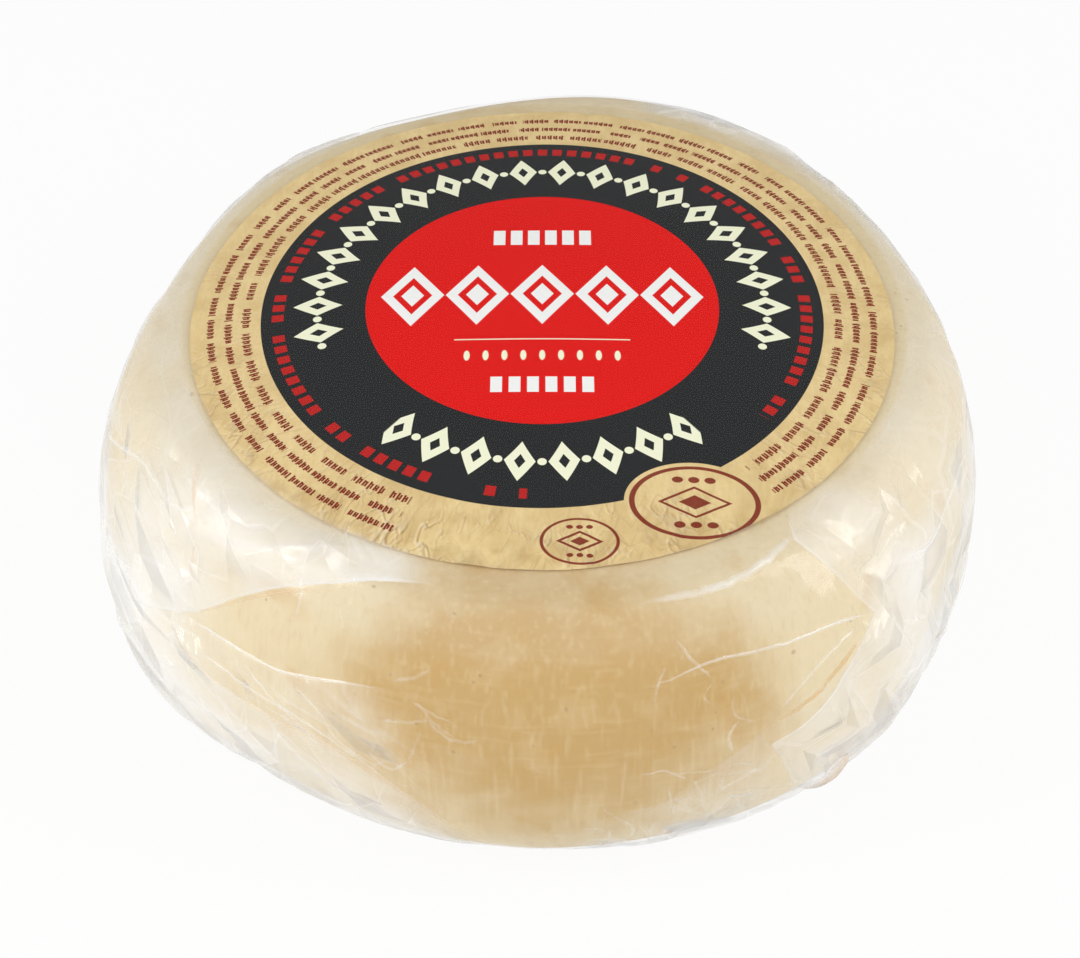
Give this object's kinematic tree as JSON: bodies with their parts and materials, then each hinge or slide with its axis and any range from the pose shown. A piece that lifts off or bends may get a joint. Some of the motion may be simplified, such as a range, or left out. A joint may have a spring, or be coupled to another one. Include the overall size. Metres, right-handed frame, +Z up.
{
  "type": "mixed milk cheese",
  "caption": "Small round wheel of cured cheese with a swelling belly and a paper disc on its crown, wrapped in clear film that is gathered in pleats at its corners.",
  "frame": {"origin": "middle of the footprint's bounding box, on the flat underside of the film", "axes": "+Z up through the wheel's axis, -Y towards the front panel of the wrap, +X to its right"},
  "size_m": [0.1286, 0.1314, 0.056],
  "materials": {
    "cheese": "smooth washed rind, warm cream with tan patches and faint cloth marks, satin",
    "label": "wrinkled kraft paper printed with fields of red and charcoal, matt",
    "film": "clear film, crumpled, glossy, milky where it lies loose"
  },
  "bodies": {
    "root": {"cheese": "cheese", "label": "label", "film": "film"}
  },
  "joints": []
}
